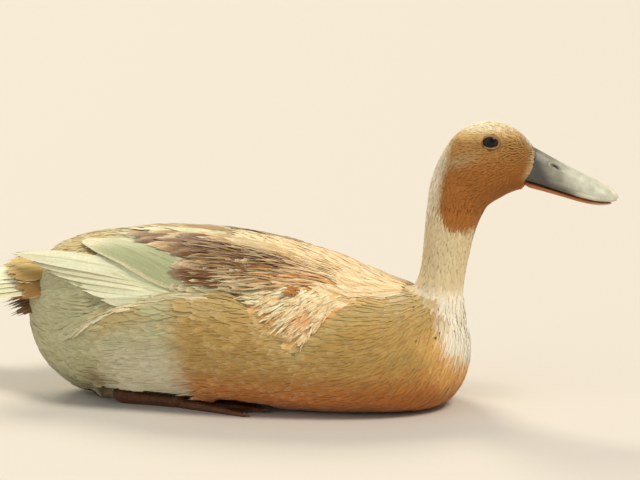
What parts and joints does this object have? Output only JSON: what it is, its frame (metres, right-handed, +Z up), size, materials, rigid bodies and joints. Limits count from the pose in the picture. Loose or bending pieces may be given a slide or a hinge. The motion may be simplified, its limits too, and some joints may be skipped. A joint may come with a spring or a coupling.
{
  "type": "duck",
  "caption": "Life-size domestic duck lying on its belly with folded wings, raised neck and level head; still model.",
  "frame": {"origin": "middle of the whole bird's bounding box in plan, at the level of the floor it lies on", "axes": "+X towards the bill, +Y to the bird's left, +Z up"},
  "size_m": [0.4632, 0.1514, 0.1933],
  "materials": {
    "fawn_plumage": "matt overlapping feathers, golden fawn",
    "cream_plumage": "matt overlapping feathers, cream white",
    "bill_horn": "satin horn, slate grey-green",
    "lower_bill_horn": "satin horn, flesh orange",
    "leg_skin": "scaled bare skin, orange",
    "eye": "wet gloss, very dark brown"
  },
  "bodies": {
    "root": {"trunk": "fawn_plumage", "neck": "cream_plumage", "head": "fawn_plumage", "bill_upper": "bill_horn", "bill_lower": "lower_bill_horn", "tail": "cream_plumage", "eye_right": "eye", "eye_left": "eye", "wing_right": "fawn_plumage", "wing_left": "fawn_plumage", "primaries_right": "cream_plumage", "primaries_left": "cream_plumage", "leg_right": "leg_skin", "leg_left": "leg_skin", "foot_right": "leg_skin", "foot_left": "leg_skin"}
  },
  "joints": []
}
